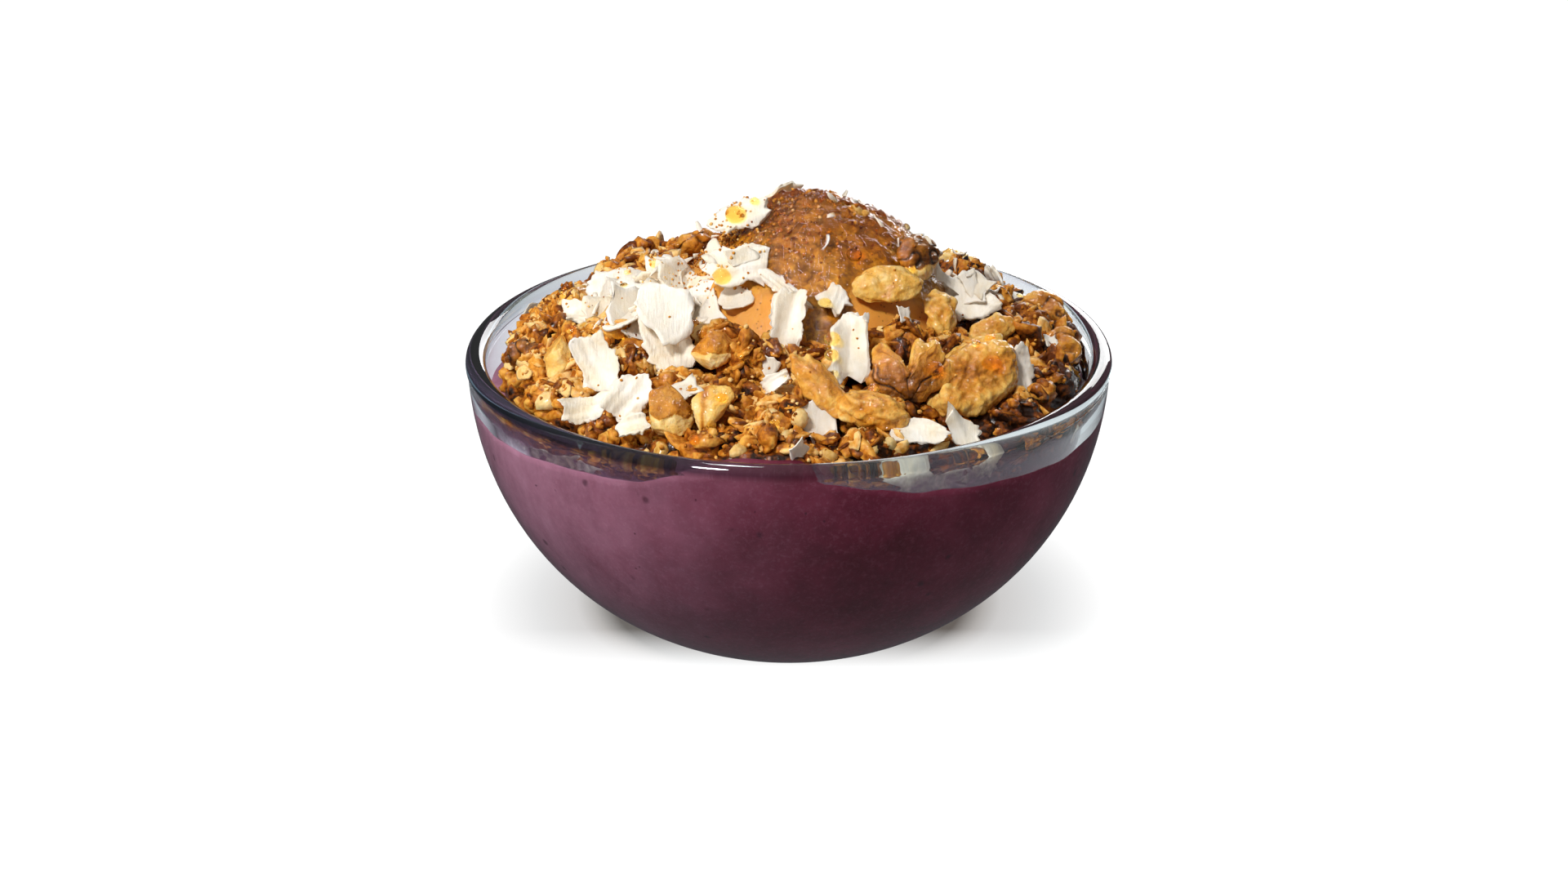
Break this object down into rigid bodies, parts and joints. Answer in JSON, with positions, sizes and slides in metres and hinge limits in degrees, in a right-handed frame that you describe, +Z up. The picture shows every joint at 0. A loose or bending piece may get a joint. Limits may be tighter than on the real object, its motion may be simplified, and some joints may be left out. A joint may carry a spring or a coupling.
{
  "type": "acai bowl",
  "caption": "Clear round glass bowl filled with purple acai puree under a heap of granola, peanut butter, honey, walnuts and coconut flakes.",
  "frame": {"origin": "middle of the foot's flat underside, on the bowl's axis", "axes": "+Z up out of the bowl; -Y is the side that the heap was arranged to be seen from"},
  "size_m": [0.15, 0.15, 0.102],
  "materials": {
    "glass": "clear, smooth",
    "acai": "smooth frozen puree behind glass",
    "granola": "baked oats in caramel, uneven sheen",
    "peanut_butter": "smooth, oily sheen",
    "honey": "clear amber, glossy",
    "walnut": "nut kernel under honey",
    "coconut": "dry, soft sheen"
  },
  "bodies": {
    "root": {"glass_bowl": "glass", "acai_puree": "acai", "granola_heap": "granola", "granola_lump": "granola", "peanut_butter": "peanut_butter", "walnut_fan": "walnut", "walnut_half": "walnut", "walnut_wing": "walnut", "walnut_chip": "walnut", "walnut_ridge": "walnut", "walnut_knob": "walnut", "walnut_dark": "walnut", "walnut_yellow": "walnut", "walnut_arch": "walnut", "walnut_rim": "walnut", "walnut_side": "walnut", "walnut_cube": "walnut", "walnut_amber": "walnut", "walnut_cream": "walnut", "walnut_lean": "walnut", "walnut_small": "walnut", "walnut_back": "walnut", "walnut_rear_half": "walnut", "walnut_rear_chip": "walnut", "walnut_rear_knob": "walnut", "coconut_tongue": "coconut", "coconut_wing": "coconut", "coconut_plate": "coconut", "coconut_nib": "coconut", "coconut_fold": "coconut", "coconut_slip": "coconut", "coconut_leaf": "coconut", "coconut_sheet": "coconut", "coconut_spread": "coconut", "coconut_flap": "coconut", "coconut_saucer": "coconut", "coconut_crest": "coconut", "coconut_strip": "coconut", "coconut_scroll": "coconut", "coconut_chip": "coconut", "coconut_roll": "coconut", "coconut_shell": "coconut", "coconut_fin": "coconut", "coconut_sail": "coconut", "coconut_shaving": "coconut", "coconut_blade": "coconut", "coconut_sliver": "coconut", "coconut_rear_roll": "coconut", "coconut_rear_plate": "coconut", "coconut_rear_wing": "coconut", "coconut_rear_leaf": "coconut", "coconut_rear_shell": "coconut", "coconut_rear_fin": "coconut"}
  },
  "joints": []
}
